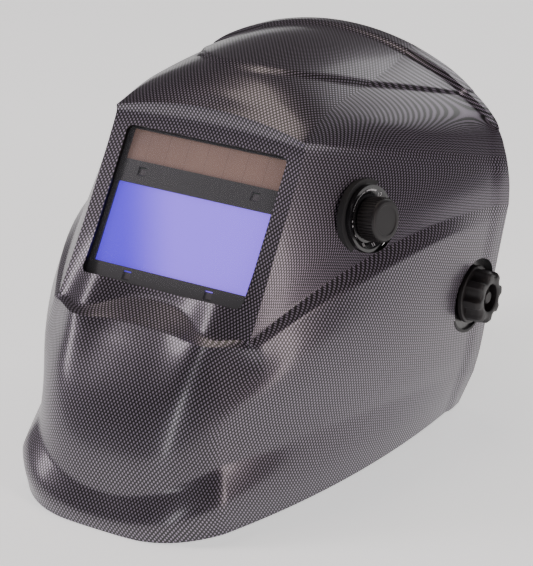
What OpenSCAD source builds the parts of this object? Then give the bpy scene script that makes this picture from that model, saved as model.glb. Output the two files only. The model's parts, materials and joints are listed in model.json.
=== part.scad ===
// Auto-darkening welding helmet, standing on its chin and the two rear corners of its rim.
// +Z is up, the window faces -Y, +X is the wearer's left. Millimetres.

/* [Shell] */
// Width of the shell over its widest point
shell_w = 228; // [216:1:250]
// Depth of the shell from the chin to the crown edge
shell_d = 255; // [245:1:280]
// Height of the shell from the table to its top
shell_h = 218; // [210:1:236]
// Wall thickness of the shell
wall = 2.5; // [2:0.1:3.2]
// Height of the raised lip along the crown edge
crown_lip = 2.4; // [0:0.1:3]
// How far the lobes under the window stand out
lobe_h = 8; // [0:0.5:10]

/* [Window] */
// Width of the window opening in the shell
open_w = 101.5; // [96:0.5:104]
// Height of the window opening in the shell
open_h = 84.5; // [78:0.5:86]
// Corner radius of the window opening
open_r = 4; // [2:0.5:6]
// Lean of the window from upright
lens_lean = 33.1; // [30:0.1:36]
// Thickness of the front cover lens
cover_t = 1; // [0.8:0.1:1.2]

/* [Filter cartridge] */
// Width of the filter cartridge
cart_w = 110; // [108:0.5:112]
// Height of the filter cartridge
cart_h = 90; // [88:0.5:92]
// Thickness of the filter cartridge
cart_t = 9; // [9:0.5:10]
// Width of the dark viewing glass
view_w = 97; // [90:0.5:98]
// Height of the dark viewing glass
view_h = 45; // [40:0.5:46]
// Height of the solar cell strip
solar_h = 17; // [14:0.5:18]

/* [Shade control] */
// Diameter of the shade knob
shade_knob_d = 24; // [22:0.5:26]
// Height of the shade knob above its dial
shade_knob_h = 11.5; // [10:0.5:14]
// Outer diameter of the dial ring
dial_d = 36; // [34:0.5:38]
// Diameter of the potentiometer shaft
pot_shaft_d = 6; // [5.5:0.1:6.2]

/* [Pivots] */
// Outer diameter of the tension knobs
tension_d = 33; // [31:0.5:35]
// Height of the tension knobs
tension_h = 13; // [12:0.5:15]
// Diameter of the pivot bolts
pivot_d = 8; // [7:0.1:8.5]
// Depth of the round pocket that each tension knob sits in
pocket_depth = 5; // [4:0.5:6]

/* [Headgear] */
// Width of the headband over its outside
band_w = 150; // [140:1:156]
// Length of the headband over its outside
band_l = 188; // [180:1:192]
// Height of the band strip
band_h = 20; // [18:1:24]
// Thickness of the band strip
band_t = 1.8; // [1.4:0.1:2.2]
// Height of the crown strap above the pivots
crown_h = 114; // [108:1:118]
// Diameter of the ratchet knob
ratchet_d = 34; // [30:1:38]
// Thickness of the forehead sweatband
sweat_t = 7; // [5:0.5:9]

/* [Hidden] */

// Every height below is measured from the level of the side rims, which sits chin_drop above the table.
chin_drop = 12.4;
// Midpoint of the helmet with its headgear, front to back
mid_y = 67.4;
sx = shell_w / 228;
sy = shell_d / 255;
sz = shell_h / 218;
gap = 0.3;
fit = 0.05;

// Shell stations from the chin rim (first) over the window and the brow to the crown edge (last). Each one
// gives the centre (y, z), the corner beside the window (x, y, z), a cheek point, the rear edge point,
// how square the front is, whether a crease runs along it, and its share of lobes and of chin flare.
STATIONS = [
    [-105, -13, 63.5, -80, -9, 89, 16, -8, 90, 131, -13, 3.6, 1, 0.0],
    [-105.5, -5, 65, -81.5, 9, 91, 13, 10, 94, 131, -3, 3.4, 0, 0.0],
    [-99.5, 7, 58, -75, 26, 91, 13, 29, 99, 131.5, 10, 3.0, 1, 0.0],
    [-96, 30, 56, -73, 42, 94, 12, 44, 102.5, 132, 26, 2.8, 0, 0.1],
    [-86, 56, 61, -63, 58, 97.5, 14, 64, 105, 134, 48, 2.6, 0, 0.3],
    [-72, 76, 68.5, -48.5, 73, 99, 22, 85, 108.5, 136.5, 78, 2.4, 0, 0.7],
    [-60, 88, 65, -48, 86, 98, 33, 111, 112, 139, 106, 2.4, 1, 1.0],
    [-44, 97, 60, -50, 89, 93, 36, 119, 113, 140, 114, 2.0, 1, 0.0],
    [-25.5, 125, 60, -25, 125, 91, 47, 135, 112.5, 141, 124, 2.0, 0, 0.0],
    [5, 171, 60, 4, 171, 88, 64.5, 156, 111, 142, 133, 2.0, 0, 0.0],
    [9, 188, 59.5, 6.5, 180.5, 86, 67, 163, 109, 143, 140, 2.0, 1, 0.0],
    [22, 197.5, 57, 26, 186, 84, 74, 169, 107.5, 143.5, 144, 2.0, 0, 0.0],
    [45, 203.5, 55, 50, 189, 83, 84, 172, 106, 144, 148, 2.0, 0, 0.0],
    [95, 203.5, 53, 96, 190, 82, 112, 174, 104.5, 144.5, 151, 2.0, 0, 0.0],
    [149, 196.5, 45, 148.5, 190, 80, 147, 174.5, 102.5, 145, 155, 2.0, 1, 0.0]
];
last_station = len(STATIONS) - 1;
// Share of the lobes' height that the shelf's upper edge takes
shelf_drop = 0.7;
// Share of the half width that lies in front of the corner line
front_share = 0.42;
// Steps of the shell's grid: between two stations, across the front and along a cheek
station_steps = 3;
front_steps = 7;
cheek_steps = 10;

function mix(a, b, t) = a + (b - a) * t;
function ramp(t) = let (c = min(1, max(0, t))) c * c * (3 - 2 * c);
function is_crease(i) = STATIONS[i][12] == 1;
function slope_out(i) = is_crease(i) ? STATIONS[i + 1] - STATIONS[i] : (STATIONS[i + 1] - STATIONS[i - 1]) / 2;
function slope_in(i) = is_crease(i) ? STATIONS[i] - STATIONS[i - 1] : (STATIONS[i + 1] - STATIONS[i - 1]) / 2;

// The station at v, which runs from 0 at the chin rim to 1 at the crown edge
function station(v) =
    let (
        i = min(floor(v * last_station + 0.000001), last_station - 1),
        t = v * last_station - i,
        t2 = t * t,
        t3 = t2 * t
    )
    (2 * t3 - 3 * t2 + 1) * STATIONS[i] + (t3 - 2 * t2 + t) * slope_out(i)
    + (3 * t2 - 2 * t3) * STATIONS[i + 1] + (t3 - t2) * slope_in(i + 1);

// The curve across the front, from the middle (a = 0) to the corner (a = 1)
function front_point(k, a) =
    [k[2] * a, mix(k[0], k[3], pow(a, k[11])), mix(k[1], k[4], a * a)];

// The cheek curve from the corner (a = 0) to the rear edge (a = 1), through its cheek point
function cheek_point(k, a) =
    let (
        c = [k[2], k[3], k[4]],
        m = [k[5], k[6], k[7]],
        b = [k[8], k[9], k[10]],
        pull = 2 * m - (b + c) / 2
    )
    (1 - a) * (1 - a) * c + 2 * a * (1 - a) * pull + a * a * b;

// The lobes stand out on both sides of the middle, under the window
function lobe(k, x) = lobe_h * k[13] * exp(-pow((x - 40) / 15, 2));

// Rows of the shelf under the window: its lower edge and its upper edge
shelf_low = 6;
shelf_high = 7;

function section_point(u, v) =
    let (
        k = station(v),
        s = abs(u),
        p = s <= front_share
            ? front_point(k, s / front_share)
            : cheek_point(k, (s - front_share) / (1 - front_share))
    )
    [sign(u) * p[0] * sx, (p[1] - lobe(k, p[0])) * sy, p[2] * sz];

// The smooth shell at u (-1 to 1, right to left) and v. The window face runs down over both lobes, so the
// shelf's upper edge drops there
function base_point(u, v) =
    let (
        p = section_point(u, v),
        near = max(0, 1 - abs(v * last_station - shelf_high)),
        drop = near == 0 ? 0 : shelf_drop * near * exp(-pow((abs(p[0]) / sx - 40) / 17, 2))
    )
    drop == 0 ? p
    : p + drop * (section_point(u, shelf_low / last_station) - section_point(u, shelf_high / last_station));

// How far the surface is raised: the crown panel behind its curved front edge, and the crown lip
function raise(u, v, p) =
    1.6 * ramp((p[1] - 36 - 0.015 * p[0] * p[0]) / 7) * ramp((p[2] - 166) / 16)
    + crown_lip * max(ramp((v - 0.97) / 0.02), 0.5 * ramp((abs(u) - 0.965) / 0.02));

function unit(a) = a / norm(a);
function shell_normal(u, v) =
    let (
        e = 0.004,
        across = base_point(min(1, u + e), v) - base_point(max(-1, u - e), v),
        along = base_point(u, min(1, v + e)) - base_point(u, max(0, v - e))
    )
    unit(cross(across, along));
function outer_point(u, v) = let (p = base_point(u, v)) p + shell_normal(u, v) * raise(u, v, p);
function inner_point(u, v) = base_point(u, v) - shell_normal(u, v) * wall;

half_steps = front_steps + cheek_steps;
U_STEPS = [for (i = [-half_steps:half_steps])
    sign(i) * (abs(i) <= front_steps
        ? front_share * abs(i) / front_steps
        : mix(front_share, 1, (abs(i) - front_steps) / cheek_steps))];
V_STEPS = [for (j = [0:last_station * station_steps]) j / (last_station * station_steps)];
cols = len(U_STEPS);
rows = len(V_STEPS);

// Window frame of reference: x across, y up along the glass, z out of the window, 0 at the glass front
lens_pos = [0, -21.5 * sy, 125 * sz];
// Middle of the opening and of the cartridge above the middle of the viewing glass
open_up = 11;
// Front of the shell's window frame above the glass
face_out = 3.3;
case_front = -0.6;
case_back = case_front - cart_t;
case_split = -5;
solar_up = view_h / 2 + 12.8 + solar_h / 2;
// Controls on the back of the cartridge, above the middle of the glass
control_up = 41;
tub_wall = 2.5;
tub_in_w = cart_w + 1;
tub_in_h = cart_h + 1;
tub_back = case_back - 0.9;
hold_t = 3;
hinge_up = open_up + tub_in_h / 2 + tub_wall + 2.3;
hinge_out = tub_back - gap - 1.5;

// Shade control: its axis leaves the left cheek
knob_pos = [85.5 * sx, 30 * sy, 136 * sz];
knob_yaw = -7.7;
knob_rise = 9.1;
pad_z = -1.5;
dial_t = 1.6;
bush_d = 7;
nut_t = 2;
pot_body_d = 17;
pot_body_t = 9;

// Pivots
pivot_y = 113 * sy;
pivot_z = 67 * sz;
pocket_x = 109.5 * sx - pocket_depth;
pocket_d = 42;
boss_t = 3.5;
washer_t = 1;
arm_t = 3;
arm_x = pocket_x - boss_t - 0.2;

// Headgear: leans back, so that it is level when the helmet is worn
head_lean = 16;
band_y = 8;
band_z = 50;
band_lean = 8;
rack_t = 1.2;
arm_rise = 34;
// Layers over the rear straps, as distances outside the band's outer face
strap_out = -band_t - 0.1;
rear_case_t = 2.2;
rear_cover_t = 1.6;
rear_pad_t = 7;
pinion_d = 7.8;
ratchet_base = 5;
// Each toothed strap end passes on its own side of the pinion
rack_gap = pinion_d / 2 + 0.2;
rack_h = 3.9;
// Crown strap halves meet over the head, where the peg joins them
crown_y = 6;
strap_w = 20;
strap_t = 1.5;
crown_half = band_w / 2 - band_t - 0.4 - strap_t - 0.1;
peg_d = 6;

module in_place() {
    translate([0, -mid_y, chin_drop]) children();
}

module at_lens() {
    translate(lens_pos) rotate([90 - lens_lean, 0, 0]) children();
}

module at_knob() {
    translate(knob_pos) rotate([0, 90 - knob_rise, knob_yaw]) children();
}

// Pivot axis frame on one side: z runs outward along the axis, 0 at the middle of the helmet
module at_pivot(side) {
    translate([0, pivot_y, pivot_z]) rotate([0, side * 90, 0]) children();
}

module on_head() {
    translate([0, pivot_y, pivot_z]) rotate([-head_lean, 0, 0]) children();
}

module on_band() {
    on_head() translate([0, band_y, band_z]) rotate([-band_lean, 0, 0]) children();
}

module slab(w, h, t, r) {
    linear_extrude(t) rounded_rect(w, h, r);
}

module rounded_rect(w, h, r) {
    square([w - 2 * r, h], center = true);
    square([w, h - 2 * r], center = true);
    for (x = [-1, 1], y = [-1, 1])
        translate([x * (w / 2 - r), y * (h / 2 - r)]) circle(r, $fn = 32);
}

// One triangulated skin: outer grid, inner grid, and a strip along each of the four edges
module skin() {
    outer = [for (j = [0:rows - 1], i = [0:cols - 1]) outer_point(U_STEPS[i], V_STEPS[j])];
    inner = [for (j = [0:rows - 1], i = [0:cols - 1]) inner_point(U_STEPS[i], V_STEPS[j])];
    n = rows * cols;
    function at(j, i) = j * cols + i;
    faces = [
        for (j = [0:rows - 2], i = [0:cols - 2])
            each [[at(j, i), at(j + 1, i + 1), at(j, i + 1)], [at(j, i), at(j + 1, i), at(j + 1, i + 1)],
                  [n + at(j, i), n + at(j, i + 1), n + at(j + 1, i + 1)],
                  [n + at(j, i), n + at(j + 1, i + 1), n + at(j + 1, i)]],
        for (i = [0:cols - 2])
            each [[at(0, i), at(0, i + 1), n + at(0, i + 1)], [at(0, i), n + at(0, i + 1), n + at(0, i)],
                  [at(rows - 1, i), n + at(rows - 1, i + 1), at(rows - 1, i + 1)],
                  [at(rows - 1, i), n + at(rows - 1, i), n + at(rows - 1, i + 1)]],
        for (j = [0:rows - 2])
            each [[at(j, 0), n + at(j + 1, 0), at(j + 1, 0)], [at(j, 0), n + at(j, 0), n + at(j + 1, 0)],
                  [at(j, cols - 1), at(j + 1, cols - 1), n + at(j + 1, cols - 1)],
                  [at(j, cols - 1), n + at(j + 1, cols - 1), n + at(j, cols - 1)]]
    ];
    polyhedron(concat(outer, inner), faces, convexity = 6);
}

// Walls inside the shell that hold the cover lens and the cartridge
module cartridge_tub() {
    at_lens() translate([0, open_up, tub_back]) difference() {
        slab(tub_in_w + 2 * tub_wall, tub_in_h + 2 * tub_wall, face_out - 0.7 - tub_back, 3);
        translate([0, 0, -1]) slab(tub_in_w, tub_in_h, 30, 1);
        // The shade lead passes through the wall on the wearer's left
        translate([tub_in_w / 2, 40 - open_up, case_split + tub_wall / 2 - tub_back - 1]) rotate([0, 90, 0])
            cylinder(h = 12, r = 2 * lead_r, center = true, $fn = 24);
    }
}

module helmet_shell() {
    color("#232026") in_place() difference() {
        union() {
            difference() {
                skin();
                at_lens() translate([0, open_up, -4]) slab(open_w, open_h, 30, open_r);
            }
            cartridge_tub();
            for (side = [-1, 1])
                at_pivot(side) translate([0, 0, pocket_x - boss_t])
                    cylinder(h = boss_t + 1.5, d = pocket_d + 3, $fn = 64);
            at_knob() translate([0, 0, pad_z - 3.5]) cylinder(h = 3.5, d = dial_d + 6, $fn = 64);
        }
        for (side = [-1, 1])
            at_pivot(side) {
                translate([0, 0, pocket_x]) cylinder(h = 30, d = pocket_d, $fn = 64);
                translate([0, 0, pocket_x - 10]) cylinder(h = 30, d = pivot_d + 2 * fit, $fn = 48);
            }
        at_knob() {
            translate([0, 0, pad_z]) cylinder(h = 24, d = dial_d + 1, $fn = 64);
            translate([0, 0, pad_z - 10]) cylinder(h = 20, d = bush_d + 0.2, $fn = 48);
            // Room for the potentiometer where the cheek is thick behind the pad
            translate([0, 0, pad_z - 3.5 - 20]) cylinder(h = 20, d = pot_body_d + 1.2, $fn = 64);
        }
        // Flat landings on the rim, where the helmet stands
        translate([-200, -200, -chin_drop - 20]) cube([400, 400, 20]);
    }
}

module front_cover_lens() {
    color("#8f93a6", 0.35) in_place() at_lens()
        translate([0, open_up, case_front + 0.1]) slab(tub_in_w - 0.8, tub_in_h - 0.8, cover_t, 0.8);
}

module case_windows(depth) {
    translate([0, 0, -depth]) slab(view_w, view_h, 2 * depth, 0.5);
    translate([0, solar_up, -depth]) slab(view_w, solar_h, 2 * depth, 0.5);
    for (x = [-1, 1]) {
        translate([x * 36, view_h / 2 + 7.2, 0]) cube([5, 5, 2 * depth], center = true);
        translate([x * 26, -view_h / 2 - 4.5, 0]) cube([5, 5, 2 * depth], center = true);
    }
}

module filter_case_front() {
    color("#1c1a1e") in_place() at_lens() difference() {
        translate([0, open_up, case_split]) slab(cart_w, cart_h, case_front - case_split, 1.5);
        translate([0, open_up, case_split - 1]) slab(cart_w - 4, cart_h - 4, case_front - case_split - 0.2, 1);
        case_windows(8);
    }
}

module filter_case_back() {
    color("#1c1a1e") in_place() at_lens() difference() {
        translate([0, open_up, case_back]) slab(cart_w, cart_h, case_split - case_back, 1.5);
        translate([0, open_up, case_back + 1.5]) slab(cart_w - 4, cart_h - 4, cart_t, 1);
        translate([0, 0, case_back - 1]) slab(view_w, view_h, 8, 0.5);
        for (x = [-30, 0, 30])
            translate([x, control_up, case_back - 1]) cylinder(h = 4, d = x == 0 ? 6.2 : 5.14, $fn = 32);
        translate([cart_w / 2, 40, case_split]) rotate([0, 90, 0])
            cylinder(h = 8, r = 1.6, center = true, $fn = 24);
    }
}

module filter_glass() {
    color("#5b45f0") in_place() at_lens() translate([0, 0, -3.8]) slab(view_w + 5, view_h + 5, 2, 0.5);
}

module lcd_shutter() {
    color("#1a2a24") in_place() at_lens() translate([0, 0, -6.6]) slab(view_w + 5, view_h + 5, 2.6, 0.5);
}

module solar_cell() {
    color("#8a6f66") in_place() at_lens()
        translate([0, solar_up, -3]) slab(view_w + 3, solar_h + 2, 1.2, 0.3);
}

module arc_sensors() {
    color("#9aa0ad") in_place() at_lens() for (x = [-1, 1]) {
        translate([x * 36, view_h / 2 + 7.2, -2.8]) cube([3.6, 3.6, 2], center = true);
        translate([x * 26, -view_h / 2 - 4.5, -2.8]) cube([3.6, 3.6, 2], center = true);
    }
}

module circuit_board() {
    color("#1f5b33") in_place() at_lens() translate([0, control_up, -6]) slab(102, 20, 1.2, 0.5);
}

module coin_cells() {
    color("#c9c9cc") in_place() at_lens() for (x = [-15, 15])
        translate([x, control_up - 0.5, -4.6]) cylinder(h = 1.4, d = 16, $fn = 48);
}

module inner_cover_lens() {
    color("#aab0c0", 0.35) in_place() at_lens()
        translate([0, 0, case_back - 1]) slab(view_w + 9, view_h + 7, 0.9, 1);
}

module trim_knob() {
    cylinder(h = 2.2, d = 11, $fn = 48);
    translate([0, 0, 2.2]) cylinder(h = 2.9, d = 5, $fn = 32);
}

module sensitivity_knob() {
    color("#2b2b2d") in_place() at_lens() translate([-30, control_up, case_back - 2.3]) difference() {
        trim_knob();
        translate([0, 0, -0.5]) cube([7, 1.4, 2.2], center = true);
    }
}

module delay_knob() {
    color("#2b2b2d") in_place() at_lens() translate([30, control_up, case_back - 2.3]) difference() {
        trim_knob();
        translate([0, 0, -0.5]) cube([7, 1.4, 2.2], center = true);
    }
}

module test_button() {
    color("#b32a24") in_place() at_lens() translate([0, control_up, case_back - 1.4]) {
        cylinder(h = 3.9, d = 6.06, $fn = 32);
        translate([0, 0, 3]) cylinder(h = 0.6, d = 7.5, $fn = 32);
    }
}

module retaining_frame() {
    color("#1d1c1f") in_place() at_lens() difference() {
        union() {
            translate([0, open_up, tub_back - gap - hold_t])
                slab(tub_in_w + 2 * tub_wall, tub_in_h + 2 * tub_wall, hold_t, 3);
            for (x = [-36, 36]) {
                translate([x - 6, hinge_up, hinge_out]) rotate([0, 90, 0]) cylinder(h = 12, r = 2.3, $fn = 32);
                translate([x - 6, hinge_up - 4, tub_back - gap - hold_t]) cube([12, 4, hold_t]);
            }
            translate([-14, open_up - tub_in_h / 2 - tub_wall - 5, tub_back - gap - hold_t])
                cube([28, 7, hold_t]);
        }
        translate([0, open_up, -40]) slab(cart_w - 10, cart_h - 8, 60, 2);
        // Notches that clear the pin holders as the frame swings
        for (x = [-36, 36], s = [-1, 1])
            translate([x + s * 8.5 - 2.3, hinge_up - 4.6, -40]) cube([4.6, 10, 60]);
        for (x = [-36, 36])
            translate([x - 8, hinge_up, hinge_out]) rotate([0, 90, 0])
                cylinder(h = 16, r = 1.2 + fit, $fn = 32);
    }
}

module retaining_frame_pins() {
    color("#b8b8bc") in_place() at_lens() for (x = [-36, 36]) {
        translate([x - 10, hinge_up, hinge_out]) rotate([0, 90, 0]) cylinder(h = 20, r = 1.2, $fn = 32);
        for (s = [-1, 1])
            translate([x + s * 8.5 - 1.5, open_up + tub_in_h / 2 + tub_wall, hinge_out - 1.8])
                cube([3, 4.1, 4.8 + tub_back - hinge_out]);
    }
}

module dial_plate() {
    color("#19181b") in_place() at_knob() rotate_extrude($fn = 96)
        polygon([[bush_d / 2 + 0.1, pad_z], [dial_d / 2, pad_z], [dial_d / 2, pad_z + dial_t + 1.4],
                 [dial_d / 2 - 1.6, pad_z + dial_t + 1.4], [shade_knob_d / 2 + 1, pad_z + dial_t - 0.6],
                 [shade_knob_d / 2 - 1, pad_z + dial_t], [bush_d / 2 + 0.1, pad_z + dial_t]]);
}

module potentiometer_body() {
    color("#4a4d52") in_place() at_knob() difference() {
        union() {
            translate([0, 0, pad_z - 3.6 - pot_body_t]) cylinder(h = pot_body_t, d = pot_body_d, $fn = 64);
            translate([0, 0, pad_z - 3.6]) cylinder(h = 3.6 + dial_t + nut_t + 0.6, d = bush_d, $fn = 48);
        }
        translate([0, 0, pad_z - 3.6 - pot_body_t + 2]) cylinder(h = 30, r = pot_shaft_d / 2 + fit, $fn = 48);
    }
}

module potentiometer_shaft() {
    color("#c2c2c6") in_place() at_knob()
        translate([0, 0, pad_z - 3.6 - pot_body_t + 2.3]) cylinder(h = 19.6, d = pot_shaft_d, $fn = 48);
}

module potentiometer_nut() {
    color("#a9a49a") in_place() at_knob() translate([0, 0, pad_z + dial_t]) difference() {
        cylinder(h = nut_t, d = 11.5, $fn = 6);
        translate([0, 0, -1]) cylinder(h = nut_t + 2, d = bush_d, $fn = 48);
    }
}

module shade_knob() {
    ribs = 36;
    base = pad_z + dial_t + 0.5;
    color("#17161a") in_place() at_knob() translate([0, 0, base]) difference() {
        union() {
            cylinder(h = shade_knob_h - 1, d = shade_knob_d - 0.8, $fn = 96);
            translate([0, 0, shade_knob_h - 1]) cylinder(h = 1, d = shade_knob_d - 2.4, $fn = 96);
            for (i = [0:ribs - 1])
                rotate([0, 0, i * 360 / ribs]) translate([shade_knob_d / 2 - 1.2, -0.4, 0])
                    cube([1.2, 0.8, shade_knob_h - 1]);
        }
        translate([0, 0, -1]) cylinder(h = 5, d = 13, $fn = 48);
        translate([0, 0, -1]) cylinder(h = 8.2, d = pot_shaft_d, $fn = 48);
    }
}

// Lead from the potentiometer to the cartridge, clear of the cheek inside the shell
LEAD = [[75, 22.2, 134], [73, 17.5, 135], [68.5, 12.5, 141], [63, 8.5, 149], [59.4, 5.8, 154.4],
        [57, 4.8, 155.7], [54.7, 4.5, 155.9]];
lead_r = 1.3;
lead_steps = 5;

function lead_at(i, t) =
    let (
        a = LEAD[max(0, i - 1)], b = LEAD[i], c = LEAD[i + 1], d = LEAD[min(len(LEAD) - 1, i + 2)]
    )
    0.5 * (2 * b + (c - a) * t + (2 * a - 5 * b + 4 * c - d) * t * t + (3 * b - a - 3 * c + d) * t * t * t);

module shade_cable() {
    path = [for (i = [0:len(LEAD) - 2], s = [0:lead_steps - 1]) lead_at(i, s / lead_steps),
            LEAD[len(LEAD) - 1]];
    n = len(path);
    sides = 8;
    function dir(i) = i == n - 1 ? [-1, 0, 0] : unit(path[min(n - 1, i + 1)] - path[max(0, i - 1)]);
    function side_a(i) = unit(cross(dir(i), [0, 0.4, 0.9]));
    function side_b(i) = cross(dir(i), side_a(i));
    points = [for (i = [0:n - 1], k = [0:sides - 1])
        path[i] + lead_r * (cos(k * 360 / sides) * side_a(i) + sin(k * 360 / sides) * side_b(i))];
    faces = [
        [for (k = [0:sides - 1]) k],
        [for (k = [sides - 1:-1:0]) (n - 1) * sides + k],
        for (i = [0:n - 2], k = [0:sides - 1])
            let (a = i * sides + k, b = i * sides + (k + 1) % sides)
            each [[a, a + sides, b + sides], [a, b + sides, b]]
    ];
    color("#202020") in_place() polyhedron(points, faces);
}

// Fluted knob: eight flat-bottomed scallops round a tapered body, with a hollow face and a small boss
module tension_knob(side) {
    color("#161518") in_place() at_pivot(side) translate([0, 0, pocket_x + washer_t]) difference() {
        union() {
            cylinder(h = 3, d = tension_d, $fn = 64);
            translate([0, 0, 3]) cylinder(h = tension_h - 4, d = tension_d - 2.5, $fn = 64);
            translate([0, 0, tension_h - 1]) cylinder(h = 1, d = tension_d - 4, $fn = 64);
        }
        for (i = [0:7])
            rotate([0, 0, i * 45 + 22.5]) translate([tension_d / 2 + 0.6, 0, 3])
                cylinder(h = tension_h, d = 7.5, $fn = 32);
        translate([0, 0, tension_h - 5]) difference() {
            cylinder(h = 6, d = 16, $fn = 48);
            cylinder(h = 3.5, d = 7, $fn = 32);
        }
        translate([0, 0, -1]) cylinder(h = tension_h - 5.5, d = pivot_d + 2 * fit, $fn = 48);
    }
}

module pivot_bolt(side) {
    color("#2a2a2d") in_place() at_pivot(side) {
        translate([0, 0, arm_x - arm_t - 3]) cylinder(h = 3, d = 16, $fn = 6);
        translate([0, 0, arm_x - arm_t]) cylinder(h = arm_t + 0.2 + boss_t + washer_t + tension_h - 6.5,
                                                  d = pivot_d, $fn = 48);
    }
}

module pivot_washer(side) {
    color("#3a3a3d") in_place() at_pivot(side) translate([0, 0, pocket_x]) difference() {
        cylinder(h = washer_t, d = 24, $fn = 64);
        translate([0, 0, -1]) cylinder(h = 4, d = pivot_d, $fn = 48);
    }
}

module side_arm(side) {
    color("#222124") in_place() {
        difference() {
            at_pivot(side) translate([0, 0, arm_x - arm_t]) cylinder(h = arm_t, d = 30, $fn = 64);
            at_pivot(side) translate([0, 0, arm_x - arm_t - 1]) cylinder(h = arm_t + 2, d = pivot_d, $fn = 48);
        }
        on_head() difference() {
            union() {
                translate([side > 0 ? arm_x - arm_t : -arm_x, -11, 8]) cube([arm_t, 22, arm_rise - 8]);
                translate([side > 0 ? band_w / 2 : -arm_x, -11, arm_rise])
                    cube([arm_x - band_w / 2, 22, arm_t]);
                translate([side > 0 ? band_w / 2 : -band_w / 2 - arm_t, -11, arm_rise])
                    cube([arm_t, 22, band_z - arm_rise + 8]);
            }
            translate([side > 0 ? 0 : -arm_x - 1, -20, 0]) translate([0, 20, 0]) rotate([0, 90, 0])
                cylinder(h = arm_x + 1, d = 17, $fn = 48);
        }
    }
}

function oval(w, l, from, to, steps) =
    [for (i = [0:steps]) let (a = mix(from, to, i / steps)) [sin(a) * w / 2, -cos(a) * l / 2]];

// A strip that follows the headband's oval between two angles, 0 at the forehead
module band_strip(from, to, out, t, low, high, steps = 48) {
    translate([0, 0, low]) linear_extrude(high - low)
        polygon(concat(oval(band_w + 2 * out, band_l + 2 * out, from, to, steps),
                       oval(band_w + 2 * out - 2 * t, band_l + 2 * out - 2 * t, to, from, steps)));
}

module headband() {
    color("#26262a") in_place() on_band() band_strip(-112, 112, 0, band_t, -band_h / 2, band_h / 2, 60);
}

module rear_strap(side) {
    overlap = 168;
    low = side > 0 ? -rack_gap - rack_h : rack_gap;
    color("#26262a") in_place() on_band() {
        band_strip(side * 100, side * overlap, strap_out, rack_t, -band_h / 2 + 2, band_h / 2 - 2, 24);
        band_strip(side * overlap, side * 188, strap_out, rack_t, low, low + rack_h, 10);
    }
}

module at_ratchet() {
    on_band() translate([0, band_l / 2 + strap_out, 0]) rotate([-90, 0, 0]) children();
}

module rear_strip(out, t, half_h) {
    band_strip(161, 199, out, t, -half_h, half_h, 24);
}

module ratchet_housing() {
    color("#1b1a1d") in_place() difference() {
        union() {
            on_band() rear_strip(strap_out + gap + rear_case_t, rear_case_t, 14);
            at_ratchet() translate([0, 0, gap + 0.6]) cylinder(h = ratchet_base - gap - 0.6, d = 28, $fn = 64);
        }
        at_ratchet() translate([0, 0, -1]) cylinder(h = 8, d = pinion_d + 2 * fit, $fn = 48);
    }
}

module ratchet_cover() {
    color("#1b1a1d") in_place() difference() {
        on_band() rear_strip(strap_out - rack_t - gap, rear_cover_t, 14);
        at_ratchet() translate([0, 0, -6]) cylinder(h = 8, d = pinion_d + 2 * fit, $fn = 48);
    }
}

module ratchet_pinion() {
    color("#c9c4b8") in_place() at_ratchet()
        translate([0, 0, -rack_t - gap - rear_cover_t + 0.2])
            cylinder(h = rack_t + gap + rear_cover_t - 0.2 + ratchet_base + 1.4, d = pinion_d, $fn = 48);
}

module ratchet_knob() {
    color("#161518") in_place() at_ratchet() translate([0, 0, ratchet_base + 0.3]) difference() {
        union() {
            cylinder(h = 3, d = ratchet_d, $fn = 64);
            translate([0, 0, 3]) cylinder(h = 9, d = ratchet_d - 4, $fn = 64);
        }
        for (i = [0:9])
            rotate([0, 0, i * 36]) translate([ratchet_d / 2, 0, 3]) cylinder(h = 10, d = 7, $fn = 32);
        translate([0, 0, -1]) cylinder(h = 2.1, d = pinion_d, $fn = 48);
    }
}

module crown_arc(from, to, out) {
    rise = crown_h - band_z;
    pts = function (grow, a, b) [for (i = [0:20]) let (t = mix(a, b, i / 20))
        [(crown_half + grow) * sin(t), (rise - 6 + grow) * cos(t)]];
    translate([0, crown_y + strap_w / 2, band_z + 6]) rotate([90, 0, 0]) linear_extrude(strap_w)
        polygon(concat(pts(out, from, to), pts(out - strap_t, to, from)));
}

module crown_strap(side) {
    out = side > 0 ? 0 : strap_t + 0.1;
    leg_in = crown_half + out - strap_t;
    leg_out = band_w / 2 - band_t - 1.2;
    color("#26262a") in_place() on_head() difference() {
        union() {
            crown_arc(side * 90, side * -14, out);
            translate([side > 0 ? leg_in : -leg_out, crown_y - strap_w / 2, band_z - 4])
                cube([leg_out - leg_in, strap_w, 10.01]);
        }
        translate([0, crown_y, crown_h - 12]) cylinder(h = 20, d = peg_d + 2 * fit, $fn = 32);
    }
}

// The peg's head rests on the outer strap
module crown_strap_peg() {
    color("#8d8d90") in_place() on_head() translate([0, crown_y, crown_h - strap_t - 2.5]) {
        cylinder(h = 2.5 + 2 * strap_t + 0.2, d = peg_d, $fn = 32);
        translate([0, 0, 2.5 + 2 * strap_t + 0.2]) cylinder(h = 1.5, d = peg_d + 4, $fn = 32);
    }
}

module band_rivets() {
    color("#77777a") in_place() on_head() for (side = [-1, 1], y = [-6, 6])
        translate([side * (band_w / 2 + arm_t + 0.75), y, band_z + 3]) rotate([0, 90, 0])
            cylinder(h = 1.5, d = 6, center = true, $fn = 32);
}

module front_sweatband() {
    color("#3a3a40") in_place() on_band()
        band_strip(-62, 62, -band_t - 0.3, sweat_t, -band_h / 2 - 5, band_h / 2 + 5, 32);
}

module nape_pad() {
    color("#3a3a40") in_place() on_band()
        rear_strip(strap_out - rack_t - gap - rear_cover_t - 0.2, rear_pad_t, 16);
}

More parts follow.
